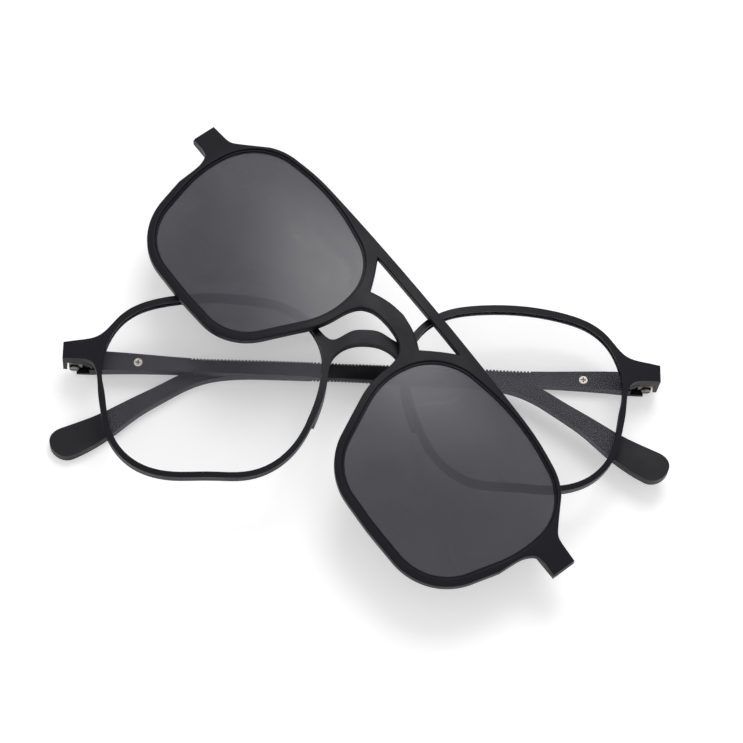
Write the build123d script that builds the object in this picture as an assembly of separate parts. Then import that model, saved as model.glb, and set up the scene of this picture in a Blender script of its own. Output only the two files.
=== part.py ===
"""Optical glasses with a magnetic clip-on sun front, lying folded with the clip across them.

Millimetres. X runs across the front to the viewer's right, Y up the brow, Z out of the front.
The glasses lie on their folded temples, and the clip lies aslant on the front.
Everything is drawn with the middle of the glasses' front face at zero, then moved to stand on Z = 0.
"""
import os
from math import ceil, degrees, sqrt

from build123d import *

# Front: the lens opening, its place and the curve of the front
opening_width = 49.4
opening_height = 42.0
bridge_gap = 19.7
lens_spacing = opening_width + bridge_gap
across_radius = 260.0
upright_radius = 130.0
outline_shares = (
    (0.99, 0.00), (0.98, 0.45), (0.78, 0.82), (0.42, 0.97), (0.04, 1.00), (-0.34, 0.96),
    (-0.70, 0.83), (-0.95, 0.51), (-1.00, 0.07), (-0.90, -0.37), (-0.71, -0.76), (-0.39, -0.98),
    (-0.01, -0.99), (0.37, -0.98), (0.72, -0.81), (0.92, -0.44),
)
curve_steps = 28

# Front frame
brow_rim = 1.6
chin_rim = 1.25
rim_depth = 2.4
brow_shares = (0.415, 0.115)
brow_steps = 10
chin_shares = (0.485, 0.995)
chin_steps = 16
bridge_top = 13.6
bridge_shoulder = 0.95
bridge_notch = 10.8
bridge_underside = 10.2
bridge_sag = 0.36
bridge_root = 6.6
bridge_taper = 2.15
bridge_foot = bridge_gap / 2 - bridge_taper
bridge_upper_shares = (0.42, 0.98)
bridge_lower_shares = (0.38, 0.95)
lug_out = 9.45
half_width = lens_spacing / 2 + opening_width / 2 + lug_out
lug_top = 11.3
lug_underside = 7.2
lug_wall = 0.9
lug_reach = 16.2
lug_flare = 1.1
seat_depth = 12.1
seat_length = 6.8
seat_inner = half_width - seat_length
nose_pad_length = 11.0
nose_pad_depth = 4.6
nose_pad_thickness = 1.7
nose_pad_height = -3.0

# Clear lenses of the glasses
lens_thickness = 1.2
lens_reveal = 0.7
lens_bite = 0.6
lens_play = 0.03

# Hinges: one upright screw through three knuckles
pivot_inset = 2.5
pivot_across = half_width - pivot_inset
pivot_depth = 15.8
hinge_height = 3.3
knuckle_radius = 1.2
knuckle_play = 0.05
hinge_plate = 0.8
hinge_plate_length = 4.9
hinge_neck = 1.9
screw_radius = 0.6
screw_play = 0.02
screw_head_radius = 1.15
screw_head = 0.65
slot_width = 0.35
slot_depth = 0.3

# Temples, folded behind the front
temple_length = 136.4
temple_drop = 20.8
temple_tip_height = 7.2
temple_root_thickness = 3.2
temple_mid_thickness = 2.4
temple_tip_thickness = 2.8
taper_share = 0.70
tip_share = 0.55
temple_outer = 2.6
temple_butt = 3.5
skin_start = lug_reach - pivot_depth + knuckle_play
skin_thickness = 0.9
right_fold_out = 1.05
left_fold_out = -2.1
right_droop = -0.75
left_droop = 0.6
leaf_thickness = 0.8
leaf_height = 2.4
leaf_length = 18.0
leaf_narrow_end = 2.3
leaf_play = 0.04
rib_pitch = 0.8
rib_groove = 0.35
rib_depth = 0.22
rib_start = 27.0
rib_end = 78.0
temple_shares = (
    (0.026, 0.000, 0.670), (0.106, -0.007, 0.560), (0.190, 0.000, 0.475), (0.300, 0.000, 0.490),
    (0.410, 0.005, 0.510), (0.630, 0.029, 0.510), (0.711, 0.058, 0.505), (0.755, 0.125, 0.490),
    (0.791, 0.236, 0.480), (0.820, 0.356, 0.490), (0.865, 0.543, 0.570), (0.912, 0.769, 0.780),
    (0.952, 0.928, 0.950), (0.974, 1.000, 1.000),
)

# Screw in each temple that holds the hinge's long leaf
temple_screw_place = 14.6
temple_screw_radius = 0.6
temple_screw_head_radius = 1.1
temple_screw_head = 0.45
temple_screw_stand = 0.15
cross_width = 0.32
cross_length = 1.2

# Magnets
magnet_length = 4.0
magnet_height = 2.2
magnet_thickness = 1.2
magnet_inset = 4.1
magnet_across = half_width - magnet_inset
magnet_skin = 0.6
magnet_play = 0.03

# Clip-on front
clip_rim = 1.8
clip_depth = 2.2
clip_opening_in = 0.4
clip_lip = 0.45
clip_lens_thickness = 1.0
clip_lens_reveal = 0.8
clip_lens_bite = 0.5
clip_brow_shares = (0.315, 0.120)
clip_brow_steps = 8
clip_chin_shares = (0.480, 0.985)
clip_chin_steps = 16
bar_rise = 0.7
bar_crown = 0.07
bar_height = 2.6
bar_top = opening_height / 2 + bar_rise
bar_underside = bar_top - bar_height
bar_window_reach = 5.15
bar_window_half = bridge_gap / 2 + bar_window_reach
arch_top = 14.85
arch_underside = 10.35
arch_foot_inset = 0.85
arch_foot = bridge_gap / 2 - arch_foot_inset
arch_foot_height = 12.3
arch_root_inset = 2.65
arch_root = bridge_gap / 2 - arch_root_inset
arch_root_height = 7.9
arch_root_shares = (0.42, 0.75)
arch_drops = (0.26, 1.04)
window_shares = (0.40, 0.72, 1.34)
window_shoulder = 0.52
window_dip = 0.15
window_swell = 0.3
tab_short = 1.4
tab_end = half_width - tab_short
tab_length = 5.8
tab_inner = tab_end - tab_length
tab_top = 11.3
tab_underside = 5.3
tab_round = 0.8
tab_depth = 2.8
clip_turn = -51.23
clip_lean = 0.54
clip_roll = -1.16
clip_place = (-3.27, 7.46, 2.375)

# Overrun of every cut past its piece
overrun = 1.0


def surface_depth(x, y):
    """How far the front's face lies behind its middle."""
    drop = upright_radius - sqrt(upright_radius**2 - y**2)
    ring = across_radius - drop
    return drop + ring - sqrt(ring**2 - x**2)


def curved_slab(near, far):
    """The space between two depths behind the front's curved face."""
    half = opening_height
    back = upright_radius

    def arc_at(depth):
        radius = upright_radius - depth
        sink = radius - sqrt(radius**2 - half**2)
        return ThreePointArc((-half, -depth - sink), (0, -depth), (half, -depth - sink))

    front_arc = arc_at(near)
    rear_arc = arc_at(far)
    edges = [
        front_arc, Line(front_arc @ 1, rear_arc @ 1), rear_arc, Line(rear_arc @ 0, front_arc @ 0),
    ]
    profile = Plane.YZ * make_face(Wire(edges))
    spread = degrees(2 * (half_width + overrun) / (across_radius - back))
    axis = Axis((0, 0, -across_radius), (0, 1, 0))
    swept = revolve(profile, axis, spread)
    middle = Location((0, 0, -across_radius), (0, -spread / 2, 0))
    return middle * Pos(0, 0, across_radius) * swept


def lens_base():
    """The opening's outline about its own centre, for the right lens."""
    points = [(x * opening_width / 2, y * opening_height / 2) for x, y in outline_shares]
    return Spline(*points, periodic=True)


def grown_point(base, place, brow, chin):
    """A point of the outline moved outward, by more at the brow than at the chin."""
    point = base @ (place % 1)
    along = base % (place % 1)
    lift = point.Y / (opening_height / 2)
    grow = (brow + chin) / 2 + (brow - chin) / 2 * lift
    return Vector(point.X + along.Y * grow, point.Y - along.X * grow)


def lens_face(grow, side):
    """The opening grown all round, at its place on one side of the front."""
    base = lens_base()
    points = [grown_point(base, step / curve_steps, grow, grow) for step in range(curve_steps)]
    centre = side * lens_spacing / 2
    return make_face(Spline(*[(centre + side * p.X, p.Y) for p in points], periodic=True))


def rim_points(span_shares, brow, chin, steps):
    """Points round the outside of the right rim, between two places of its outline."""
    base = lens_base()
    first, last = span_shares
    places = [first + (last - first) * step / steps for step in range(steps + 1)]
    points = [grown_point(base, place, brow, chin) for place in places]
    return [(lens_spacing / 2 + p.X, p.Y) for p in points]


def mirrored(points):
    """The same points on the other side, in the opposite order."""
    return [(-x, y) for x, y in reversed(points)]


def upright_solid(face, low, high):
    """A flat outline pushed through between two heights."""
    return extrude(Pos(0, 0, low) * face, high - low)


def outer_face(crown, upper, end_x, end_top, end_low, lower, floor):
    """The whole front's outer edge, from half of it."""
    top = mirrored(upper) + [(0, crown)] + upper
    bottom = mirrored(lower) + [(0, floor)] + lower
    top_edge = Spline(*top)
    bottom_edge = Spline(*bottom)
    right_end = Line((end_x, end_top), (end_x, end_low))
    left_end = Line((-end_x, end_low), (-end_x, end_top))
    return make_face(Wire([top_edge, right_end, bottom_edge, left_end]))


def between(low, high):
    """Half way between two values."""
    return (low + high) / 2


def box_between(x0, x1, y0, y1, z0, z1):
    """A box between opposite corners."""
    place = Pos(between(x0, x1), between(y0, y1), between(z0, z1))
    return place * Box(abs(x1 - x0), abs(y1 - y0), abs(z1 - z0))


# Glasses' front

def front_outline():
    """Outer edge of the glasses' front."""
    lug_middle = between(half_width, seat_inner)
    shoulder, notch = bridge_upper_shares
    upper = [(bridge_foot * shoulder, between(bridge_top, bridge_notch) + bridge_shoulder)]
    upper += [(bridge_foot * notch, bridge_notch)]
    upper += rim_points(brow_shares, brow_rim, chin_rim, brow_steps)
    upper += [(seat_inner - lug_flare, lug_top + lug_flare), (lug_middle, lug_top + lug_flare / 4)]
    upper += [(half_width, lug_top)]
    shoulder, root = bridge_lower_shares
    lower = [(bridge_foot * shoulder, bridge_underside - bridge_sag)]
    lower += [(bridge_foot * root, bridge_root)]
    lower += rim_points(chin_shares, brow_rim, chin_rim, chin_steps)
    lower += [(seat_inner + lug_flare / 3, lug_underside - lug_flare)]
    lower += [(lug_middle, lug_underside - lug_flare / 4), (half_width, lug_underside)]
    return outer_face(bridge_top, upper, half_width, lug_top, lug_underside, lower, bridge_underside)


def lug(plate, side):
    """The lug's flat hinge seat and the wall that turns back round the hinge."""
    top = -surface_depth(half_width, between(lug_top, lug_underside)) - rim_depth / 2
    inside = half_width - lug_wall
    seat = box_between(side * seat_inner, side * inside, 0, opening_height, -seat_depth, top)
    wall = box_between(side * inside, side * (half_width + overrun), 0, opening_height,
                       -lug_reach, top)
    return plate & (seat + wall)


def magnet_box(grow, front, rear):
    """The magnet's space on the right side, between two heights."""
    middle = between(lug_top, lug_underside)
    half_length = magnet_length / 2 + grow
    half_height = magnet_height / 2 + grow
    return box_between(magnet_across - half_length, magnet_across + half_length,
                       middle - half_height, middle + half_height, rear, front)


def frame_magnet_front():
    """Height of the front face of the magnet sealed in the lug."""
    return -surface_depth(magnet_across + magnet_length / 2, lug_top) - magnet_skin


def nose_pad(side):
    """The pad moulded behind the nose side of a rim."""
    outer = lens_face(between(brow_rim, chin_rim), side)
    inner = lens_face(between(brow_rim, chin_rim) - nose_pad_thickness, side)
    ring = upright_solid(outer - inner, -rim_depth - nose_pad_depth, -rim_depth / 2)
    centre = side * (lens_spacing / 2 - opening_width / 2)
    reach = opening_width / 4
    window = box_between(centre - reach, centre + reach,
                         nose_pad_height - nose_pad_length / 2, nose_pad_height + nose_pad_length / 2,
                         -rim_depth - nose_pad_depth - overrun, 0)
    drop = Pos(0, 0, -surface_depth(abs(centre), nose_pad_height))
    return drop * (ring & window)


def front_frame():
    """The moulded front: rims, bridge, nose pads and lugs in one piece."""
    opening = lens_face(0, 1) + lens_face(0, -1)
    plate = upright_solid(front_outline() - opening, -opening_height, overrun)
    frame = plate & curved_slab(0, rim_depth)
    for side in (1, -1):
        frame += lug(plate, side)
        frame += nose_pad(side)
        frame -= demo_lens(side, lens_play)
        pocket = magnet_box(magnet_play, frame_magnet_front() + magnet_play, -seat_depth - overrun)
        frame -= pocket if side > 0 else mirror(pocket, Plane.YZ)
    return frame


def demo_lens(side, grow=0.0):
    """A clear lens, its edge held in the rim's groove."""
    blank = upright_solid(lens_face(lens_bite + grow, side), -opening_height, overrun)
    return blank & curved_slab(lens_reveal - grow, lens_reveal + lens_thickness + grow)


# Hinges, drawn on the right side and mirrored to the left

hinge_middle = between(lug_top, lug_underside)
hinge_low = hinge_middle - hinge_height / 2
knuckle_height = (hinge_height - 2 * knuckle_play) / 3


def barrel(radius, low, height):
    """An upright round bar on the pivot."""
    place = Plane((pivot_across, low, -pivot_depth), x_dir=(1, 0, 0), z_dir=(0, 1, 0))
    return extrude(place * Circle(radius), height)


def front_hinge():
    """Plate on the lug's seat with the two outer knuckles."""
    outer = half_width - lug_wall - knuckle_play
    plate = box_between(outer - hinge_plate_length, outer, hinge_low, hinge_low + hinge_height,
                        -seat_depth - hinge_plate, -seat_depth)
    hinge = plate
    for low in (hinge_low, hinge_low + hinge_height - knuckle_height):
        neck = box_between(pivot_across - hinge_neck, pivot_across + knuckle_radius, low,
                           low + knuckle_height, -pivot_depth, -seat_depth)
        hinge += neck
        hinge += barrel(knuckle_radius, low, knuckle_height)
    hinge -= barrel(screw_radius + screw_play, hinge_low - overrun, hinge_height + 2 * overrun)
    return hinge


def hinge_screw():
    """The pivot screw, its slotted head under the hinge."""
    shank = barrel(screw_radius, hinge_low, hinge_height)
    head = barrel(screw_head_radius, hinge_low - screw_head, screw_head)
    rim = head.faces().sort_by(Axis.Y)[0].edges()
    head = chamfer(rim, screw_head / 3)
    slot = box_between(pivot_across - screw_head_radius, pivot_across + screw_head_radius,
                       hinge_low - screw_head, hinge_low - screw_head + slot_depth,
                       -pivot_depth - slot_width / 2, -pivot_depth + slot_width / 2)
    return shank + (head - slot)


# Temples: drawn straight back from the pivot, X along, Y up, Z towards the head's side

def thickness_at(along):
    """Temple thickness at a distance from the pivot."""
    straight_end = temple_length * taper_share
    if along < rib_start:
        share = along / rib_start
        return temple_root_thickness + (temple_mid_thickness - temple_root_thickness) * share
    if along < straight_end:
        return temple_mid_thickness
    share = (along - straight_end) / (temple_length - straight_end)
    return temple_mid_thickness + (temple_tip_thickness - temple_mid_thickness) * share


def temple_side(inset):
    """Side view of a temple: a spine with a height at each stop."""
    spine = Spline(*[(x * temple_length, -y * temple_drop) for x, y, height in temple_shares])
    upper = []
    lower = []
    for x, y, height in temple_shares:
        point = Vector(x * temple_length, -y * temple_drop)
        along = spine % spine.param_at_point(point)
        half = height * temple_tip_height / 2 - inset
        upper.append((point.X - along.Y * half, point.Y + along.X * half))
        lower.append((point.X + along.Y * half, point.Y - along.X * half))
    end = spine @ 1
    heading = spine % 1
    reach = temple_tip_height * tip_share - inset
    tip = (end.X + heading.X * reach, end.Y + heading.Y * reach)
    top = Spline(*upper)
    bottom = Spline(*lower)
    cap = Spline(upper[-1], tip, lower[-1], tangents=(top % 1, Vector(0, 0) - (bottom % 1)))
    butt = Line(lower[0], upper[0])
    return make_face(Wire([top, cap, bottom, butt]))


def temple_plan(inset):
    """Top view of a temple: flat outside, tapered inside."""
    stops = (0, rib_start, temple_length * taper_share, temple_length + temple_tip_height)
    inner = [(along, thickness_at(along) - temple_outer - inset) for along in stops]
    outer = [(along, inset - temple_outer) for along in reversed(stops)]
    return make_face(Polyline(*inner, *outer, close=True))


def temple_blank(inset=0.0):
    """The temple's solid, smooth all over."""
    reach = temple_root_thickness + overrun
    side = extrude(Pos(0, 0, -reach) * temple_side(inset), 2 * reach)
    root_half = temple_shares[0][2] * temple_tip_height / 2 - inset
    side += box_between(skin_start, temple_butt + overrun, -root_half, root_half, -reach, reach)
    tall = temple_drop + temple_tip_height
    plan = Plane.XZ.offset(-tall) * temple_plan(inset)
    return side & extrude(plan, 2 * tall)


def temple():
    """A moulded temple with its ribs, its slot for the hinge leaf and its screw hole."""
    body = temple_blank()
    count = ceil((rib_end - rib_start) / rib_pitch)
    reach = temple_tip_height
    comb = [Pos(rib_start + index * rib_pitch, 0) * Rectangle(rib_groove, 2 * reach)
            for index in range(count)]
    grooves = upright_solid(Sketch() + comb, -reach, reach) - temple_blank(rib_depth)
    body -= grooves
    skin_inside = -temple_outer + skin_thickness
    body -= box_between(-overrun, temple_butt, -reach, reach, skin_inside, reach)
    body -= leaf(leaf_play)
    body -= temple_screw(screw_play)
    return body


def leaf(grow=0.0):
    """The long steel leaf inside the temple."""
    front = leaf_narrow_end - grow
    middle = -(temple_outer - temple_root_thickness / 2)
    half = leaf_thickness / 2 + grow
    return box_between(front, leaf_length + grow, -leaf_height / 2 - grow, leaf_height / 2 + grow,
                       middle - half, middle + half)


def temple_hinge():
    """Middle knuckle with the leaf that runs into the temple."""
    middle = -(temple_outer - temple_root_thickness / 2)
    knuckle = extrude(Plane.XZ.offset(-knuckle_height / 2) * Circle(knuckle_radius), knuckle_height)
    neck = box_between(0, leaf_narrow_end, -knuckle_height / 2, knuckle_height / 2,
                       middle - leaf_thickness / 2, middle + leaf_thickness / 2)
    hole = extrude(Plane.XZ.offset(-hinge_height) * Circle(screw_radius + screw_play), 2 * hinge_height)
    tap = temple_screw(screw_play)
    return knuckle + neck + leaf() - hole - tap


def temple_screw(grow=0.0):
    """The screw in the temple's inner face."""
    face = thickness_at(temple_screw_place) - temple_outer
    base = face + temple_screw_stand - temple_screw_head
    place = Pos(temple_screw_place, 0, base - grow)
    head = place * extrude(Circle(temple_screw_head_radius + grow), temple_screw_head + 2 * grow)
    length = leaf_thickness + temple_root_thickness / 4
    shank = place * Pos(0, 0, -length) * extrude(Circle(temple_screw_radius + grow), length + grow)
    screw = head + shank
    if grow == 0.0:
        rim = head.faces().sort_by(Axis.Z)[-1].edges()
        screw = chamfer(rim, temple_screw_head / 3) + shank
        top = base + temple_screw_head
        for along, across in ((cross_length, cross_width), (cross_width, cross_length)):
            screw -= box_between(temple_screw_place - along / 2, temple_screw_place + along / 2,
                                 -across / 2, across / 2, top - slot_depth, top)
    return screw


def on_temple(shape, side, fold_out, droop):
    """Places something of a temple at its folded place on one side."""
    turned = Rot(0, fold_out, 0) * Rot(0, 0, -droop) * shape
    placed = Pos(-pivot_across, hinge_middle, -pivot_depth) * turned
    return placed if side < 0 else mirror(placed, Plane.YZ)


# Clip-on front

def clip_outline():
    """Outer edge of the clip: straight brow bar, rims and tabs."""
    tab_middle = between(tab_end, tab_inner)
    upper = [(bar_window_half / 2, bar_top), (bar_window_half, bar_top + bar_crown)]
    upper += rim_points(clip_brow_shares, clip_rim, clip_rim, clip_brow_steps)
    upper += [(tab_inner - tab_round, tab_top + tab_round / 2), (tab_middle, tab_top)]
    upper += [(tab_end, tab_top)]
    lower = [(arch_root * share, arch_underside - drop)
             for share, drop in zip(arch_root_shares, arch_drops)]
    lower += [(arch_root, arch_root_height)]
    lower += rim_points(clip_chin_shares, clip_rim, clip_rim, clip_chin_steps)
    lower += [(tab_inner - tab_round / 2, tab_underside - tab_round)]
    lower += [(tab_middle, tab_underside), (tab_end, tab_underside)]
    return outer_face(bar_top, upper, tab_end, tab_top, tab_underside, lower, arch_underside)


def bar_window():
    """The window between the brow bar and the arched bridge."""
    shoulder, dip, swell_share = window_shares
    rim_low = (arch_foot, arch_foot_height)
    half_arch = [(arch_foot * shoulder, arch_top - window_shoulder)]
    half_arch += [(arch_foot * dip, between(arch_foot_height, arch_top) - window_dip)]
    half_arch += [rim_low]
    floor = Spline(*(mirrored(half_arch) + [(0, arch_top)] + half_arch))
    corner = (bar_window_half, bar_underside)
    swell = (arch_foot * swell_share, between(arch_foot_height, bar_underside) + window_swell)
    right_side = Spline(rim_low, swell, corner)
    left_side = Spline((-corner[0], corner[1]), (-swell[0], swell[1]), (-rim_low[0], rim_low[1]))
    roof = Line(corner, (-corner[0], corner[1]))
    return make_face(Wire([floor, right_side, roof, left_side]))


def clip_lens(side, grow=0.0):
    """A dark lens of the clip."""
    blank = upright_solid(lens_face(clip_lens_bite - clip_opening_in + grow, side),
                          -opening_height, overrun)
    return blank & curved_slab(clip_lens_reveal - grow, clip_lens_reveal + clip_lens_thickness + grow)


def tab_pad(plate, side):
    """The thicker end of each tab, flat behind, which holds the magnet."""
    reach = opening_height
    window = box_between(side * tab_inner, side * (tab_end + overrun), -reach, reach,
                         clip_magnet_rear(), 0)
    return plate & window & curved_slab(clip_depth / 2, 2 * tab_depth)


def clip_magnet_rear():
    """Height of the flat rear of the tabs, level with the magnets' faces."""
    return -surface_depth(tab_end, 0) - tab_depth


def clip_frame():
    """The clip's moulded frame."""
    opening = lens_face(-clip_opening_in, 1) + lens_face(-clip_opening_in, -1)
    face = clip_outline() - opening - bar_window()
    plate = upright_solid(face, -opening_height, overrun)
    frame = plate & curved_slab(0, clip_depth)
    for side in (1, -1):
        frame += tab_pad(plate, side)
        frame -= clip_lens(side, lens_play)
        rear = clip_magnet_rear()
        pocket = magnet_box(magnet_play, rear + magnet_thickness + magnet_play, rear - overrun)
        frame -= pocket if side > 0 else mirror(pocket, Plane.YZ)
    return frame


def clip_magnet():
    """A magnet in a tab of the clip."""
    rear = clip_magnet_rear()
    return magnet_box(0, rear + magnet_thickness, rear)


def on_clip(shape):
    """Places something of the clip where the clip lies on the glasses."""
    turn = Rot(0, 0, clip_turn) * Rot(clip_lean, 0, 0) * Rot(0, clip_roll, 0)
    return Pos(*clip_place) * turn * shape


def both_sides(right):
    """A right-hand shape and its mirror image, by side name."""
    return {"left": mirror(right, Plane.YZ), "right": right}


def build():
    """Every piece by name, at its place about the middle of the glasses' front."""
    pieces = {"front_frame": front_frame()}
    for name, side in (("left", -1), ("right", 1)):
        pieces[name + "_demo_lens"] = demo_lens(side)
    lug_magnet = magnet_box(0, frame_magnet_front(), magnet_play - seat_depth)
    for name, shape in both_sides(front_hinge()).items():
        pieces[name + "_front_hinge"] = shape
    for name, shape in both_sides(hinge_screw()).items():
        pieces[name + "_hinge_screw"] = shape
    for name, shape in both_sides(lug_magnet).items():
        pieces[name + "_frame_magnet"] = shape
    arm = {"_temple": temple(), "_temple_hinge": temple_hinge(), "_temple_screw": temple_screw()}
    folded = (("left", -1, left_fold_out, left_droop), ("right", 1, right_fold_out, right_droop))
    for name, side, fold, droop in folded:
        for ending, shape in arm.items():
            pieces[name + ending] = on_temple(shape, side, fold, droop)
    pieces["clip_frame"] = on_clip(clip_frame())
    for name, side in (("left", -1), ("right", 1)):
        pieces[name + "_clip_lens"] = on_clip(clip_lens(side))
    for name, shape in both_sides(clip_magnet()).items():
        pieces[name + "_clip_magnet"] = on_clip(shape)
    return pieces


def main():
    """Moves the whole object so that its box stands on zero, and writes each piece."""
    lay = Rot(0, right_fold_out, 0)
    pieces = {name: lay * shape for name, shape in build().items()}
    boxes = [shape.bounding_box() for shape in pieces.values()]
    low = [min(axis) for axis in zip(*[tuple(box.min) for box in boxes])]
    high = [max(axis) for axis in zip(*[tuple(box.max) for box in boxes])]
    shift = Pos(-between(low[0], high[0]), -between(low[1], high[1]), -low[2])
    print("moved by", shift.position)
    os.makedirs("parts", exist_ok=True)
    for name, shape in pieces.items():
        placed = shift * shape
        export_step(placed, "parts/" + name + ".step")


main()
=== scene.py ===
"""Optical glasses with a magnetic clip-on sun front: finishes, clip frame, floor, lamp and camera.

Metres, in the part's own frame. Shapes come from the part, apart from the clip's frame: its slim
rims and sunk ledges are made here, drawn in millimetres, and stand for the part's own.
"""
from math import atan2, cos, pi, radians, sin, sqrt, tan

import bmesh
import bpy
from bpy.props import FloatProperty, FloatVectorProperty, PointerProperty, StringProperty
from mathutils import Matrix, Quaternion, Vector


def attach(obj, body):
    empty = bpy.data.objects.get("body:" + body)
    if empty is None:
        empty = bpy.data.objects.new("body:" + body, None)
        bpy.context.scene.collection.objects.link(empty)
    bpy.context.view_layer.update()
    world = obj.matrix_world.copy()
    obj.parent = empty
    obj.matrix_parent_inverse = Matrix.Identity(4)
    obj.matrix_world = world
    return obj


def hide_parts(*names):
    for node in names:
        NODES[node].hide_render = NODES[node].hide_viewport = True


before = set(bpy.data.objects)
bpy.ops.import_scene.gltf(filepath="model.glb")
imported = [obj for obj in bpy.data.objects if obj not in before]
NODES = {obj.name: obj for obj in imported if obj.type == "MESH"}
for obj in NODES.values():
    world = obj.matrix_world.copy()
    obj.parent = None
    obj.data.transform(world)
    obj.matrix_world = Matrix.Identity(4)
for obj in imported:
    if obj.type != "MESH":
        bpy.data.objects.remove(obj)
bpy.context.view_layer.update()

bl_info = {
    "name": "Glasses with a clip-on sun front",
    "version": (1, 0, 0),
    "blender": (4, 5, 0),
    "location": "3D View > Sidebar > Glasses",
    "description": "Finishes the glasses and their clip, and sets the floor, lamp and camera",
    "category": "Object",
}

MILLIMETRE = 0.001
SIDES = ("left", "right")

# Edges of thin and small pieces, as shares of the front's edge radius
THIN_EDGE, MAGNET_EDGE, SCREW_EDGE = 1 / 4, 1 / 3, 1 / 6
SOFT_ANGLE, FACET_ANGLE = radians(40), radians(50)
SENSOR_WIDTH = 36.0

# Sockets of a Mix node that mixes colours
MIX_SHARE, MIX_FIRST, MIX_SECOND, MIX_RESULT = 0, 6, 7, 2


# Helpers

def linear(hex_colour):
    """Linear RGBA of an sRGB hex colour."""
    channels = [int(hex_colour[place:place + 2], 16) / 255 for place in (1, 3, 5)]
    bent = [c / 12.92 if c <= 0.04045 else ((c + 0.055) / 1.055) ** 2.4 for c in channels]
    return (*bent, 1.0)


def per_metre(millimetres):
    """Texture scale of a pattern that repeats after so many millimetres."""
    return 1 / (millimetres * MILLIMETRE)


def add_node(tree, kind, values=None, links=None, **settings):
    """Adds one node with its settings, its input values and its links."""
    node = tree.nodes.new(kind)
    for name, value in settings.items():
        setattr(node, name, value)
    for name, value in (values or {}).items():
        node.inputs[name].default_value = value
    for name, output in (links or {}).items():
        tree.links.new(output, node.inputs[name])
    return node


def new_material(name, tint):
    """An empty node material, with the colour that the plain view shows."""
    material = bpy.data.materials.new(name)
    material.use_nodes = True
    material.node_tree.nodes.clear()
    material.diffuse_color = linear(tint)
    return material


def dress(node_names, material):
    """Puts one material on all faces of some nodes."""
    for name in node_names:
        mesh = NODES[name].data
        mesh.materials.clear()
        mesh.materials.append(material)


def soften(node_names, width):
    """Rounds the moulded or cut edges of some nodes."""
    for name in node_names:
        bevel = NODES[name].modifiers.new("Soft edges", "BEVEL")
        bevel.width = width
        bevel.segments = 3
        bevel.limit_method = "ANGLE"
        bevel.angle_limit = SOFT_ANGLE


# The clip's frame, drawn flat in millimetres about the middle of the glasses' front. Only its
# right half is drawn, and the left half is its reflection.

LENS_WIDTH, LENS_HEIGHT, LENS_SPACING = 49.7, 42.2, 69.1
# Corners: across and up as shares of half the lens, and radius as a share of half its height
LENS_CORNERS = (
    (1.02, 0.08, 1.44), (0.94, 0.87, 0.65), (0.01, 1.045, 2.56), (-0.91, 0.81, 0.68),
    (-1.03, 0.04, 0.93), (-0.62, -0.98, 0.62), (0.01, -1.005, 3.00), (0.78, -0.96, 0.68),
)
LENS_STEP = radians(3)
ACROSS_RADIUS, UPRIGHT_RADIUS = 260.0, 130.0

# Depths are taken backwards from the front face
CLIP_DEPTH = 2.2
LEDGE_EDGE = 0.08
LEDGE_BACK = 1 / 2   # how far the ledge ends before the clip's back, as a share of its drop
RIM_LAP = 1 / 3      # how far the ledge reaches under the rim, as a share of the rim
TAB = {"inner": 61.5, "end": 67.3, "top": 11.3, "under": 5.3}
PAD = {"step": 0.22, "rear": 2.8, "edge": 0.02}
MAGNET = {"across": 64.6, "height": 9.25, "half_length": 2.03, "half_height": 1.13}

# The rim's two free stretches run clockwise between angles about the lens's middle
BROW_SPAN = (radians(88), radians(41))
CHIN_SPAN = (radians(-7), radians(175))
BAR_TOP = (0, 21.8)
SHOULDER = ((59.3, 12.9), (61.4, 11.5), (64.2, TAB["top"]))
TAB_END = ((66.7, TAB["top"]), (67.15, 11.15), (TAB["end"], 10.8),
           (TAB["end"], 5.8), (67.15, 5.45), (66.7, TAB["under"]))
FLARE = ((64.0, TAB["under"]), (61.9, 4.7), (60.7, 3.0), (60.1, 0.6))
ARCH_UNDER = ((8.05, 5.1), (7.1, 7.7), (5.3, 9.31), (2.96, 10.09), (0, 10.35))
WINDOW_FLOOR = ((0, 14.85), (3.6, 14.33), (6.48, 13.43), (9.0, 12.3))
WINDOW_SIDE = ((9.0, 12.3), (12.06, 16.05), (15.0, 19.2))

# How finely lines and faces are divided, so that they bend smoothly
RUN_STEPS, EDGE_STEP, FACE_STEP, FACE_ROUNDS = 6, 1.5, 2.5, 7
WELD, FLATNESS = 0.002, 0.001


def surface_depth(x, y):
    """How far the front's face lies behind its middle."""
    drop = UPRIGHT_RADIUS - sqrt(UPRIGHT_RADIUS ** 2 - y ** 2)
    ring = ACROSS_RADIUS - drop
    return drop + ring - sqrt(ring ** 2 - x ** 2)


def lens_ring(grow):
    """The right lens opening grown all round: straight sides joined by round corners."""
    corners = [Vector((x * LENS_WIDTH / 2, y * LENS_HEIGHT / 2)) for x, y, _ in LENS_CORNERS]
    points = []
    for place, corner in enumerate(corners):
        before = (corner - corners[place - 1]).normalized()
        after = (corners[(place + 1) % len(corners)] - corner).normalized()
        bend = -before.angle_signed(after)
        radius = LENS_CORNERS[place][2] * LENS_HEIGHT / 2
        start = corner - before * radius * tan(bend / 2)
        centre = start + Vector((-before.y, before.x)) * radius
        first = atan2(-before.x, before.y)
        steps = max(2, int(bend / LENS_STEP))
        for index in range(steps + 1):
            angle = first + bend * index / steps
            spoke = Vector((cos(angle), sin(angle))) * (radius + grow)
            points.append((LENS_SPACING / 2 + centre.x + spoke.x, centre.y + spoke.y))
    return points


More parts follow.
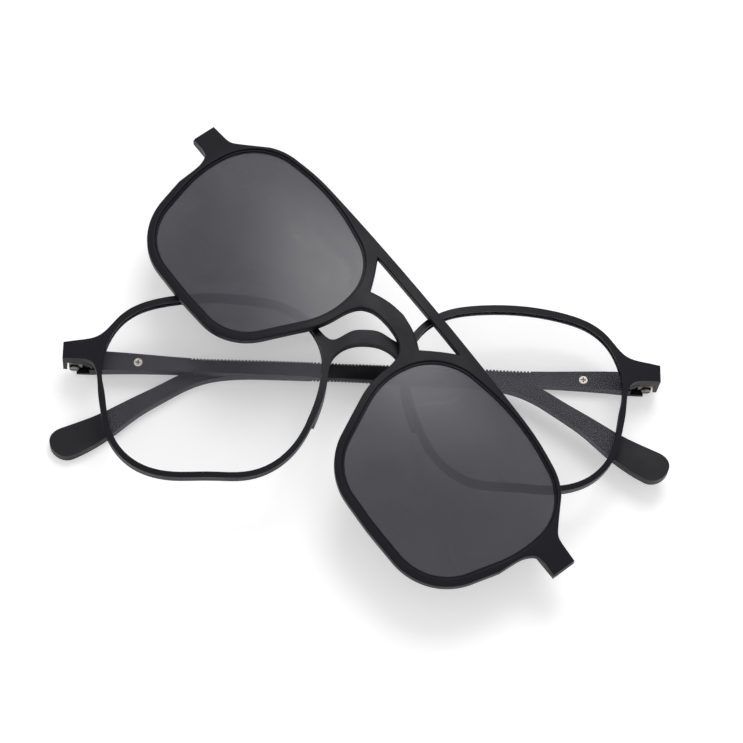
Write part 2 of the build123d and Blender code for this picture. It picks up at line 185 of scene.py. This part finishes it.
def smooth_run(points):
    """A smooth line through a few points, with a cubic from each to the next."""
    ends = [points[0], *points, points[-1]]
    line = []
    for place in range(len(points) - 1):
        a, b, c, d = [Vector(point) for point in ends[place:place + 4]]
        for index in range(RUN_STEPS):
            t = index / RUN_STEPS
            spot = b * 2 + (c - a) * t + (a * 2 - b * 5 + c * 4 - d) * t ** 2
            spot += (b * 3 - a - c * 3 + d) * t ** 3
            line.append(tuple(spot / 2))
    return line + [tuple(points[-1])]


def ring_part(grow, span):
    """The ring's points from one angle about the lens's middle to another, clockwise."""
    first, last = span

    def turn(point):
        angle = atan2(point[1], point[0] - LENS_SPACING / 2)
        return (first - angle) % (2 * pi)

    whole = (first - last) % (2 * pi)
    return [point for point in sorted(lens_ring(grow), key=turn) if turn(point) <= whole]


def reflected(points):
    """The same points on the other side, in the opposite order."""
    return [(-x, y) for x, y in reversed(points)]


def clip_outline(finish):
    """Outer edge of the clip: brow bar, slim rims, tabs and the arch's underside."""
    brow = ring_part(finish.clip_rim, BROW_SPAN)
    chin = ring_part(finish.clip_chin_rim, CHIN_SPAN)
    shoulder = smooth_run([brow[-1], *SHOULDER])
    flare = smooth_run([*FLARE, chin[0]])
    arch = smooth_run([chin[-1], *ARCH_UNDER])
    right = [BAR_TOP, *brow[:-1], *shoulder, *TAB_END, *flare, *chin[1:-1], *arch]
    return right + reflected(right)[1:-1]


def bar_window():
    """The window between the brow bar and the arched bridge."""
    right = smooth_run(WINDOW_FLOOR)[:-1] + smooth_run(WINDOW_SIDE)
    return right + reflected(right)[:-1]


def finely(points):
    """The same closed line with its long straight stretches divided."""
    line = []
    for place, point in enumerate(points):
        start, end = Vector(points[place - 1]), Vector(point)
        parts = max(1, int((end - start).length / EDGE_STEP))
        line += [tuple(start.lerp(end, (index + 1) / parts)) for index in range(parts)]
    return line


def divide_caps(shape, flat):
    """Divides the long thin triangles of a plate's two faces, so that they can bend."""
    def caps():
        return {face for face in shape.faces if all(abs(vert.co.z) > flat for vert in face.verts)}

    def seams(faces):
        return [edge for edge in shape.edges
                if edge.link_faces and faces.issuperset(edge.link_faces)]

    for _ in range(FACE_ROUNDS):
        long_seams = [edge for edge in seams(caps()) if edge.calc_length() > FACE_STEP]
        if not long_seams:
            break
        bmesh.ops.subdivide_edges(shape, edges=long_seams, cuts=1)
        bmesh.ops.triangulate(shape, faces=list(caps()))
    faces = caps()
    bmesh.ops.beautify_fill(shape, faces=list(faces), edges=seams(faces), method="ANGLE")


def curved_plate(outlines, near, far, edge, bent=True):
    """A plate with rounded edges between two depths, bent to the front's curve."""
    curve = bpy.data.curves.new("Outline", "CURVE")
    curve.dimensions = "2D"
    curve.fill_mode = "BOTH"
    curve.extrude = (far - near) / 2 - edge
    curve.bevel_depth = edge
    curve.bevel_resolution = 2
    curve.offset = -edge
    for points in [finely(outline) for outline in outlines]:
        spline = curve.splines.new("POLY")
        spline.points.add(len(points) - 1)
        for point, (x, y) in zip(spline.points, points):
            point.co = (x, y, 0, 1)
        spline.use_cyclic_u = True
    holder = bpy.data.objects.new("Outline", curve)
    mesh = bpy.data.meshes.new_from_object(holder)
    bpy.data.objects.remove(holder)
    bpy.data.curves.remove(curve)
    shape = bmesh.new()
    shape.from_mesh(mesh)
    bmesh.ops.remove_doubles(shape, verts=shape.verts, dist=WELD)
    divide_caps(shape, (far - near) / 2 - FLATNESS)
    middle = (near + far) / 2
    for vert in shape.verts:
        vert.co.z -= middle + (surface_depth(vert.co.x, vert.co.y) if bent else 0)
    shape.to_mesh(mesh)
    shape.free()
    return mesh


def sunk_ledges(finish):
    """The ledge round each dark lens, which reaches a little under the rim."""
    opening = -finish.clip_inset
    outer = lens_ring(opening + finish.clip_ledge + finish.clip_rim * RIM_LAP)
    inner = lens_ring(opening)
    sunk = finish.clip_ledge_drop
    return [curved_plate(ring, sunk, CLIP_DEPTH - sunk * LEDGE_BACK, LEDGE_EDGE)
            for ring in ((outer, inner), (reflected(outer), reflected(inner)))]


def magnet_pads():
    """The thicker flat back of each tab, with the pocket of its magnet."""
    near = surface_depth(TAB["end"], TAB["top"]) + PAD["step"]
    far = surface_depth(TAB["end"], 0) + PAD["rear"]
    pad = [(TAB["inner"], TAB["under"]), (TAB["end"], TAB["under"]),
           (TAB["end"], TAB["top"]), (TAB["inner"], TAB["top"])]
    pocket = [(MAGNET["across"] + x * MAGNET["half_length"],
               MAGNET["height"] + y * MAGNET["half_height"])
              for x, y in ((-1, -1), (1, -1), (1, 1), (-1, 1))]
    return [curved_plate([[(side * x, y) for x, y in points] for points in (pad, pocket)],
                         near, far, PAD["edge"], bent=False)
            for side in (1, -1)]


def joined_piece(name, meshes, place):
    """One mesh object of several plates that overlap, placed and scaled to metres."""
    shape = bmesh.new()
    for mesh in meshes:
        shape.from_mesh(mesh)
        bpy.data.meshes.remove(mesh)
    bmesh.ops.remove_doubles(shape, verts=shape.verts, dist=WELD)
    bmesh.ops.transform(shape, matrix=Matrix.Scale(MILLIMETRE, 4) @ place, verts=shape.verts)
    bmesh.ops.recalc_face_normals(shape, faces=shape.faces)
    mesh = bpy.data.meshes.new(name)
    shape.to_mesh(mesh)
    shape.free()
    mesh.polygons.foreach_set("use_smooth", [True] * len(mesh.polygons))
    mesh.set_sharp_from_angle(angle=FACET_ANGLE)
    piece = bpy.data.objects.new(name, mesh)
    bpy.context.collection.objects.link(piece)
    piece.modifiers.new("Flat faces", "WEIGHTED_NORMAL").keep_sharp = True
    return piece


def clip_place(finish):
    """Where the clip lies on the glasses."""
    lay = Matrix.Translation(finish.front_middle) @ Matrix.Rotation(finish.front_tilt, 4, "Y")
    rest = Matrix.Translation(finish.clip_offset) @ Matrix.Rotation(finish.clip_turn, 4, "Z")
    lean = Matrix.Rotation(finish.clip_lean, 4, "X") @ Matrix.Rotation(finish.clip_roll, 4, "Y")
    return lay @ rest @ lean


# Materials

def moulded_nylon(name, finish):
    """Nylon 12, injection moulded in a spark-eroded tool, then tumbled satin.

    The eye sees near-black with a fine even grain, broad soft highlights and slightly shinier
    patches where fingers have rubbed it.
    """
    material = new_material(name, finish.nylon_dark)
    tree = material.node_tree
    place = add_node(tree, "ShaderNodeTexCoord").outputs["Object"]
    handling = add_node(tree, "ShaderNodeTexNoise",
                        {"Scale": per_metre(finish.handling_patch), "Detail": 3.0},
                        {"Vector": place}).outputs["Fac"]
    # The real grain is about half as coarse, too fine to show, so it is drawn coarser
    grain = add_node(tree, "ShaderNodeTexNoise",
                     {"Scale": per_metre(finish.grain_size), "Detail": 2.0}, {"Vector": place})
    rough = add_node(tree, "ShaderNodeMapRange",
                     {"From Min": 0.35, "From Max": 0.65,
                      "To Min": finish.nylon_roughness - 0.06,
                      "To Max": finish.nylon_roughness + 0.06}, {"Value": handling})
    bump = add_node(tree, "ShaderNodeBump",
                    {"Strength": 0.12, "Distance": finish.grain_depth * MILLIMETRE},
                    {"Height": grain.outputs["Fac"]})
    colour = add_node(tree, "ShaderNodeMix",
                      {MIX_FIRST: linear(finish.nylon_dark),
                       MIX_SECOND: linear(finish.nylon_light)},
                      {MIX_SHARE: handling}, data_type="RGBA")
    shader = add_node(tree, "ShaderNodeBsdfPrincipled",
                      {"IOR": 1.52, "Specular IOR Level": finish.nylon_gloss},
                      {"Base Color": colour.outputs[MIX_RESULT],
                       "Roughness": rough.outputs["Result"], "Normal": bump.outputs["Normal"]})
    add_node(tree, "ShaderNodeOutputMaterial", links={"Surface": shader.outputs["BSDF"]})
    return material


def smeared_sheet(name, tint, smear_tint, smear_size, noise, roughness, values):
    """A smooth see-through sheet whose wiping smears are a little lighter and rougher.

    The roughness goes from its first to its second value as the noise does.
    """
    material = new_material(name, tint)
    tree = material.node_tree
    place = add_node(tree, "ShaderNodeTexCoord").outputs["Object"]
    smear = add_node(tree, "ShaderNodeTexNoise",
                     {"Scale": per_metre(smear_size), "Detail": 4.0, "Distortion": 1.2},
                     {"Vector": place}).outputs["Fac"]
    rough = add_node(tree, "ShaderNodeMapRange",
                     {"From Min": noise[0], "From Max": noise[1],
                      "To Min": roughness[0], "To Max": roughness[1]}, {"Value": smear})
    colour = add_node(tree, "ShaderNodeMix",
                      {MIX_FIRST: linear(tint), MIX_SECOND: linear(smear_tint)},
                      {MIX_SHARE: smear}, data_type="RGBA")
    shader = add_node(tree, "ShaderNodeBsdfPrincipled", values,
                      {"Base Color": colour.outputs[MIX_RESULT],
                       "Roughness": rough.outputs["Result"]})
    add_node(tree, "ShaderNodeOutputMaterial", links={"Surface": shader.outputs["BSDF"]})
    return material


def clear_acrylic(name, finish):
    """Cast acrylic demo lens, cut to shape and polished.

    The eye sees the floor and the temples through it, a weak shine and faint wiping smears.
    """
    return smeared_sheet(name, finish.clear_tint, finish.clear_smear, finish.smear_size,
                         noise=(0.4, 0.7), roughness=(0.14, 0.22),
                         values={"IOR": 1.49, "Alpha": finish.clear_alpha})


def polarised_grey(name, finish):
    """Grey polarising film between two layers of cellulose triacetate, pressed to a curve.

    The eye sees dark glass that hides nearly all behind it, with a broad blurred reflection of
    the lamp and faint finger smears.
    """
    middle = finish.dark_roughness
    return smeared_sheet(name, finish.dark_tint, finish.dark_smear, finish.smear_size,
                         noise=(0.35, 0.65), roughness=(middle - 0.03, middle + 0.03),
                         values={"IOR": 1.55, "Alpha": finish.dark_alpha,
                                 "Specular IOR Level": finish.dark_gloss})


def brushed_metal(name, finish, colour_hex, roughness, line_spacing, stretch=(1.0, 1.0, 1.0)):
    """Nickel silver or steel, stamped or turned, then nickel plated.

    The eye sees warm grey metal with fine lines from the tool and small bright edges, with
    painted shade darkening its slots and crosses.
    """
    material = new_material(name, colour_hex)
    tree = material.node_tree
    place = add_node(tree, "ShaderNodeTexCoord").outputs["Object"]
    along = add_node(tree, "ShaderNodeMapping", {"Scale": stretch}, {"Vector": place})
    # Real tool lines are a few hundredths of a millimetre apart, and are drawn coarser to show
    lines = add_node(tree, "ShaderNodeTexNoise",
                     {"Scale": per_metre(line_spacing), "Detail": 3.0},
                     {"Vector": along.outputs["Vector"]}).outputs["Fac"]
    rough = add_node(tree, "ShaderNodeMapRange",
                     {"From Min": 0.3, "From Max": 0.7,
                      "To Min": roughness - 0.07, "To Max": roughness + 0.1}, {"Value": lines})
    bump = add_node(tree, "ShaderNodeBump",
                    {"Strength": 0.2, "Distance": finish.grain_depth * MILLIMETRE},
                    {"Height": lines})
    colour = add_node(tree, "ShaderNodeMix",
                      {MIX_FIRST: linear(finish.metal_shade), MIX_SECOND: linear(colour_hex)},
                      {MIX_SHARE: lines}, data_type="RGBA")
    # Painted shade: an occlusion mask darkens slots, crosses and other recesses towards a dark
    # colour
    recess = add_node(tree, "ShaderNodeAmbientOcclusion",
                      {"Distance": finish.recess_reach * MILLIMETRE})
    open_share = add_node(tree, "ShaderNodeMapRange", {"From Min": 0.55, "From Max": 0.95},
                          {"Value": recess.outputs["AO"]})
    painted_recess_shade = add_node(tree, "ShaderNodeMix", {MIX_FIRST: linear(finish.recess_shade_colour)},
                     {MIX_SHARE: open_share.outputs["Result"],
                      MIX_SECOND: colour.outputs[MIX_RESULT]}, data_type="RGBA")
    shader = add_node(tree, "ShaderNodeBsdfPrincipled", {"Metallic": 1.0},
                      {"Base Color": painted_recess_shade.outputs[MIX_RESULT],
                       "Roughness": rough.outputs["Result"], "Normal": bump.outputs["Normal"]})
    add_node(tree, "ShaderNodeOutputMaterial", links={"Surface": shader.outputs["BSDF"]})
    return material


# Settings

class GlassesFinish(bpy.types.PropertyGroup):
    """Colours and finishes of the glasses, and the sizes and place of the clip's frame."""

    nylon_dark: StringProperty(
        name="Nylon shade", default="#07070c",
        description="Darker colour of the moulded nylon, as hex")
    nylon_light: StringProperty(
        name="Nylon sheen", default="#0f0f18",
        description="Lighter colour of the moulded nylon, as hex")
    nylon_roughness: FloatProperty(
        name="Nylon roughness", default=0.42, min=0.0, max=1.0, subtype="FACTOR",
        description="Middle roughness of the satin nylon")
    nylon_gloss: FloatProperty(
        name="Nylon gloss", default=0.15, min=0.0, max=1.0, subtype="FACTOR",
        description="Strength of the satin nylon's shine")
    grain_size: FloatProperty(
        name="Grain size", default=0.25,
        description="Size in mm of the moulded grain, drawn twice as coarse to show")
    grain_depth: FloatProperty(
        name="Grain depth", default=0.003,
        description="Depth in mm of the grain and of tool lines")
    handling_patch: FloatProperty(
        name="Handling patches", default=9.0,
        description="Size in mm of the patches that fingers rub")
    edge_radius: FloatProperty(
        name="Edge radius", default=0.00028, unit="LENGTH",
        description="Rounding of the front's moulded edges")
    clear_tint: StringProperty(
        name="Clear lens tint", default="#85828f",
        description="Colour of the clear lenses, as hex")
    clear_smear: StringProperty(
        name="Clear lens smears", default="#9d9aa6",
        description="Colour of the clear lenses where they are smeared, as hex")
    clear_alpha: FloatProperty(
        name="Clear lens cover", default=0.06, min=0.0, max=1.0, subtype="FACTOR",
        description="How much each face of a clear lens hides")
    dark_tint: StringProperty(
        name="Dark lens tint", default="#181723",
        description="Colour of the dark lenses, as hex")
    dark_smear: StringProperty(
        name="Dark lens smears", default="#242232",
        description="Colour of the dark lenses where they are smeared, as hex")
    dark_alpha: FloatProperty(
        name="Dark lens cover", default=0.80, min=0.0, max=1.0, subtype="FACTOR",
        description="How much each face of a dark lens hides")
    dark_gloss: FloatProperty(
        name="Dark lens gloss", default=0.5, min=0.0, max=1.0, subtype="FACTOR",
        description="Strength of the dark lens's shine")
    dark_roughness: FloatProperty(
        name="Dark lens roughness", default=0.3, min=0.0, max=1.0, subtype="FACTOR",
        description="Blur of reflections in the dark lenses")
    smear_size: FloatProperty(
        name="Smear size", default=14.0,
        description="Size in mm of wiping smears on the lenses")
    metal_shade: StringProperty(
        name="Metal shade", default="#5d5853",
        description="Colour in the tool lines of the metal, as hex")
    hinge_colour: StringProperty(
        name="Hinge metal", default="#a39e96",
        description="Colour of the hinges, as hex")
    screw_colour: StringProperty(
        name="Screw metal", default="#98928a",
        description="Colour of the screws, as hex")
    magnet_colour: StringProperty(
        name="Magnet plating", default="#c4c2c0",
        description="Colour of the magnets, as hex")
    # Painted shade: the dark colour that the occlusion mask paints into slots and crosses
    recess_shade_colour: StringProperty(
        name="Painted recess shade", default="#1b1917",
        description="Colour deep in slots and crosses, as hex")
    recess_reach: FloatProperty(
        name="Recess reach", default=0.5,
        description="How far in mm the dark of a slot or cross reaches")
    clip_rim: FloatProperty(
        name="Clip rim", default=0.65,
        description="Width in mm of the clip's upper rim past the clear opening")
    clip_chin_rim: FloatProperty(
        name="Clip chin rim", default=1.45,
        description="Width in mm of the clip's lower rim past the clear opening")
    clip_edge: FloatProperty(
        name="Clip edge", default=0.3,
        description="Rounding in mm of the clip frame's edges")
    clip_ledge: FloatProperty(
        name="Clip ledge", default=0.5,
        description="Width in mm of the sunk ledge round each dark lens")
    clip_inset: FloatProperty(
        name="Clip inset", default=0.85,
        description="How far in mm the dark lens opening is smaller than the clear one")
    clip_ledge_drop: FloatProperty(
        name="Ledge drop", default=0.45,
        description="How far in mm the ledge is sunk")
    clip_turn: FloatProperty(
        name="Clip turn", default=radians(-51.23), subtype="ANGLE",
        description="Turn of the clip on the glasses")
    clip_lean: FloatProperty(
        name="Clip lean", default=radians(0.54), subtype="ANGLE",
        description="Lean of the clip from brow to chin")
    clip_roll: FloatProperty(
        name="Clip roll", default=radians(-1.16), subtype="ANGLE",
        description="Lean of the clip from end to end")
    clip_offset: FloatVectorProperty(
        name="Clip place", default=(-3.27, 7.46, 2.375),
        description="Middle of the clip from the middle of the front, in mm")
    front_middle: FloatVectorProperty(
        name="Front's middle", default=(0.518973, -10.3706, 19.6105),
        description="Middle of the glasses' front face, in mm")
    front_tilt: FloatProperty(
        name="Front's tilt", default=radians(1.05), subtype="ANGLE",
        description="How far the front leans on its folded temples")


class GlassesStage(bpy.types.PropertyGroup):
    """Floor, lamp and camera."""

    floor_half: FloatProperty(
        name="Floor half size", default=3.0, unit="LENGTH",
        description="Half the side of the floor")
    floor_colour: StringProperty(
        name="Floor colour", default="#f4f4f4",
        description="Colour of the white floor, as hex")
    floor_glow: FloatProperty(
        name="Floor glow", default=0.36,
        description="Light that the floor adds for the eye alone")
    sky_strength: FloatProperty(
        name="Room light", default=0.62,
        description="Even white light from all round")
    lamp_strength: FloatProperty(
        name="Softbox power", default=3.0, subtype="POWER",
        description="Power of the overhead softbox")
    lamp_size: FloatProperty(
        name="Softbox size", default=0.45, unit="LENGTH",
        description="Side of the overhead softbox")
    lamp_distance: FloatProperty(
        name="Softbox distance", default=0.9, unit="LENGTH",
        description="From the glasses to the softbox")
    lamp_lean: FloatProperty(
        name="Softbox lean", default=radians(32.0), subtype="ANGLE",
        description="How far the softbox stands behind the upright")
    lamp_side: FloatProperty(
        name="Softbox side", default=radians(6.3), subtype="ANGLE",
        description="How far the softbox stands to the viewer's right")
    camera_azimuth: FloatProperty(
        name="Camera azimuth", default=radians(-5.645), subtype="ANGLE",
        description="Turn of the camera round the glasses")
    camera_elevation: FloatProperty(
        name="Camera elevation", default=radians(68.525), subtype="ANGLE",
        description="Height of the camera above the horizon")
    camera_roll: FloatProperty(
        name="Camera roll", default=radians(7.140), subtype="ANGLE",
        description="Turn of the camera about its own line of sight")
    camera_distance: FloatProperty(
        name="Camera distance", default=0.66056, unit="LENGTH",
        description="From the camera to the middle of the glasses' front")
    camera_target: FloatVectorProperty(
        name="Camera target", default=(0.000519, -0.010371, 0.019611),
        subtype="TRANSLATION", unit="LENGTH",
        description="Middle of the glasses' front face")
    camera_lens: FloatProperty(
        name="Focal length", default=142.105,
        description="Focal length in mm for a 36 mm wide sensor")
    camera_shift: FloatVectorProperty(
        name="Camera shift", default=(0.00835, 0.01725), size=2,
        description="Shift of the view, as shares of its width")


# Operators

class GLASSES_OT_moulded_frames(bpy.types.Operator):
    """Satin black nylon for the front and the temples"""
    bl_idname = "glasses.moulded_frames"
    bl_label = "Front and temples"

    def execute(self, context):
        finish = context.scene.glasses_finish
        temples = [side + "_temple" for side in SIDES]
        dress(["front_frame", *temples], moulded_nylon("Moulded satin nylon", finish))
        soften(["front_frame"], finish.edge_radius)
        soften(temples, finish.edge_radius * THIN_EDGE)
        return {"FINISHED"}


class GLASSES_OT_clip_frame(bpy.types.Operator):
    """The clip's slim frame with a sunk ledge round each dark lens, in satin black nylon"""
    bl_idname = "glasses.clip_frame"
    bl_label = "Clip frame"

    def execute(self, context):
        finish = context.scene.glasses_finish
        opening = lens_ring(finish.clip_ledge - finish.clip_inset)
        outlines = [clip_outline(finish), bar_window(), opening, reflected(opening)]
        plate = curved_plate(outlines, 0, CLIP_DEPTH, finish.clip_edge)
        piece = joined_piece("Clip_frame", [plate, *sunk_ledges(finish), *magnet_pads()],
                             clip_place(finish))
        piece.data.materials.append(moulded_nylon("Moulded satin nylon of the clip", finish))
        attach(piece, "clip")
        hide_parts("clip_frame")
        return {"FINISHED"}


class GLASSES_OT_clear_lenses(bpy.types.Operator):
    """Polished acrylic for the clear lenses"""
    bl_idname = "glasses.clear_lenses"
    bl_label = "Clear lenses"

    def execute(self, context):
        acrylic = clear_acrylic("Polished clear acrylic", context.scene.glasses_finish)
        dress([side + "_demo_lens" for side in SIDES], acrylic)
        return {"FINISHED"}


class GLASSES_OT_dark_lenses(bpy.types.Operator):
    """Polarised grey for the clip's lenses"""
    bl_idname = "glasses.dark_lenses"
    bl_label = "Dark lenses"

    def execute(self, context):
        sheet = polarised_grey("Polarised grey sheet", context.scene.glasses_finish)
        dress([side + "_clip_lens" for side in SIDES], sheet)
        return {"FINISHED"}


class GLASSES_OT_hinges(bpy.types.Operator):
    """Nickel plated metal for the hinges and their leaves"""
    bl_idname = "glasses.hinges"
    bl_label = "Hinges"

    def execute(self, context):
        finish = context.scene.glasses_finish
        names = [side + part for side in SIDES for part in ("_front_hinge", "_temple_hinge")]
        dress(names, brushed_metal("Plated nickel silver", finish, finish.hinge_colour,
                                   roughness=0.3, line_spacing=0.15, stretch=(0.2, 1.0, 1.0)))
        soften(names, finish.edge_radius * THIN_EDGE)
        return {"FINISHED"}


class GLASSES_OT_screws(bpy.types.Operator):
    """Bright steel for the screws"""
    bl_idname = "glasses.screws"
    bl_label = "Screws"

    def execute(self, context):
        finish = context.scene.glasses_finish
        names = [side + part for side in SIDES for part in ("_hinge_screw", "_temple_screw")]
        dress(names, brushed_metal("Turned bright steel", finish, finish.screw_colour,
                                   roughness=0.22, line_spacing=0.1))
        soften(names, finish.edge_radius * SCREW_EDGE)
        return {"FINISHED"}


class GLASSES_OT_magnets(bpy.types.Operator):
    """Nickel plating for the magnets"""
    bl_idname = "glasses.magnets"
    bl_label = "Magnets"

    def execute(self, context):
        finish = context.scene.glasses_finish
        names = [side + part for side in SIDES for part in ("_frame_magnet", "_clip_magnet")]
        dress(names, brushed_metal("Nickel plated magnet", finish, finish.magnet_colour,
                                   roughness=0.18, line_spacing=0.3))
        soften(names, finish.edge_radius * MAGNET_EDGE)
        return {"FINISHED"}


class GLASSES_OT_stage(bpy.types.Operator):
    """White floor, even room light, one overhead softbox and the camera"""
    bl_idname = "glasses.stage"
    bl_label = "Stage"

    def execute(self, context):
        stage = context.scene.glasses_stage
        self.floor(context, stage)
        self.room(context, stage)
        self.softbox(context, stage)
        self.camera(context, stage)
        context.scene.view_settings.view_transform = "Standard"
        return {"FINISHED"}

    def seen_rays(self, tree):
        """One where the eye, a mirror or a lens looks, zero for plain light."""
        path = add_node(tree, "ShaderNodeLightPath")
        mirror = add_node(tree, "ShaderNodeMath", operation="MAXIMUM",
                          links={0: path.outputs["Is Camera Ray"],
                                 1: path.outputs["Is Glossy Ray"]})
        seen = add_node(tree, "ShaderNodeMath", operation="MAXIMUM",
                        links={0: mirror.outputs[0], 1: path.outputs["Is Transmission Ray"]})
        return seen.outputs[0]

    def floor(self, context, stage):
        """White card under the glasses, which keeps their shadow."""
        half = stage.floor_half
        corners = [(-half, -half, 0), (half, -half, 0), (half, half, 0), (-half, half, 0)]
        mesh = bpy.data.meshes.new("Floor")
        mesh.from_pydata(corners, [], [(0, 1, 2, 3)])
        floor = bpy.data.objects.new("Floor", mesh)
        context.collection.objects.link(floor)
        material = new_material("Matt white card", stage.floor_colour)
        tree = material.node_tree
        card = add_node(tree, "ShaderNodeBsdfDiffuse", {"Color": linear(stage.floor_colour)})
        glow = add_node(tree, "ShaderNodeMath", {1: stage.floor_glow},
                        {0: self.seen_rays(tree)}, operation="MULTIPLY")
        light = add_node(tree, "ShaderNodeEmission", links={"Strength": glow.outputs[0]})
        both = add_node(tree, "ShaderNodeAddShader",
                        links={0: card.outputs[0], 1: light.outputs[0]})
        add_node(tree, "ShaderNodeOutputMaterial", links={"Surface": both.outputs[0]})
        mesh.materials.append(material)

    def room(self, context, stage):
        """White room, as bright as the floor where it is seen."""
        world = bpy.data.worlds.new("White room")
        world.use_nodes = True
        tree = world.node_tree
        tree.nodes.clear()
        strength = add_node(tree, "ShaderNodeMapRange",
                            {"To Min": stage.sky_strength, "To Max": 1.0},
                            {"Value": self.seen_rays(tree)})
        sky = add_node(tree, "ShaderNodeBackground", {"Color": (1, 1, 1, 1)},
                       {"Strength": strength.outputs["Result"]})
        add_node(tree, "ShaderNodeOutputWorld", links={"Surface": sky.outputs[0]})
        context.scene.world = world

    def softbox(self, context, stage):
        """A square softbox above and behind the glasses."""
        lamp = bpy.data.lights.new("Softbox", "AREA")
        lamp.shape = "SQUARE"
        lamp.size = stage.lamp_size
        lamp.energy = stage.lamp_strength
        holder = bpy.data.objects.new("Softbox", lamp)
        side, lean = stage.lamp_side, stage.lamp_lean
        away = Vector((sin(side), sin(lean), cos(lean))).normalized()
        holder.location = Vector(stage.camera_target) + away * stage.lamp_distance
        holder.rotation_mode = "QUATERNION"
        holder.rotation_quaternion = away.to_track_quat("Z", "Y")
        context.collection.objects.link(holder)

    def camera(self, context, stage):
        """The camera at the photograph's angle."""
        lens = bpy.data.cameras.new("Camera")
        lens.sensor_width = SENSOR_WIDTH
        lens.lens = stage.camera_lens
        lens.shift_x, lens.shift_y = stage.camera_shift
        lens.clip_start = 0.01
        holder = bpy.data.objects.new("Camera", lens)
        turn, rise = stage.camera_azimuth, stage.camera_elevation
        back = Vector((sin(turn) * cos(rise), -cos(turn) * cos(rise), sin(rise)))
        holder.location = Vector(stage.camera_target) + back * stage.camera_distance
        holder.rotation_mode = "QUATERNION"
        upright = (-back).to_track_quat("-Z", "Y")
        holder.rotation_quaternion = upright @ Quaternion((0, 0, 1), stage.camera_roll)
        context.collection.objects.link(holder)
        context.scene.camera = holder


# Panel

OPERATORS = (
    GLASSES_OT_moulded_frames, GLASSES_OT_clip_frame, GLASSES_OT_clear_lenses,
    GLASSES_OT_dark_lenses, GLASSES_OT_hinges, GLASSES_OT_screws, GLASSES_OT_magnets,
    GLASSES_OT_stage,
)


class GLASSES_PT_sidebar(bpy.types.Panel):
    """Settings and steps of the glasses"""
    bl_idname = "GLASSES_PT_sidebar"
    bl_label = "Glasses"
    bl_space_type = "VIEW_3D"
    bl_region_type = "UI"
    bl_category = "Glasses"

    def draw(self, context):
        for group in (context.scene.glasses_finish, context.scene.glasses_stage):
            box = self.layout.box()
            for name in group.__annotations__:
                box.prop(group, name)
        for operator in OPERATORS:
            self.layout.operator(operator.bl_idname)


CLASSES = (GlassesFinish, GlassesStage, *OPERATORS, GLASSES_PT_sidebar)


def register():
    for cls in CLASSES:
        bpy.utils.register_class(cls)
    bpy.types.Scene.glasses_finish = PointerProperty(type=GlassesFinish)
    bpy.types.Scene.glasses_stage = PointerProperty(type=GlassesStage)


def unregister():
    del bpy.types.Scene.glasses_stage
    del bpy.types.Scene.glasses_finish
    for cls in reversed(CLASSES):
        bpy.utils.unregister_class(cls)


def main():
    """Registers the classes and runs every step."""
    register()
    for operator in OPERATORS:
        family, step = operator.bl_idname.split(".")
        getattr(getattr(bpy.ops, family), step)()


if __name__ == "__main__":
    main()
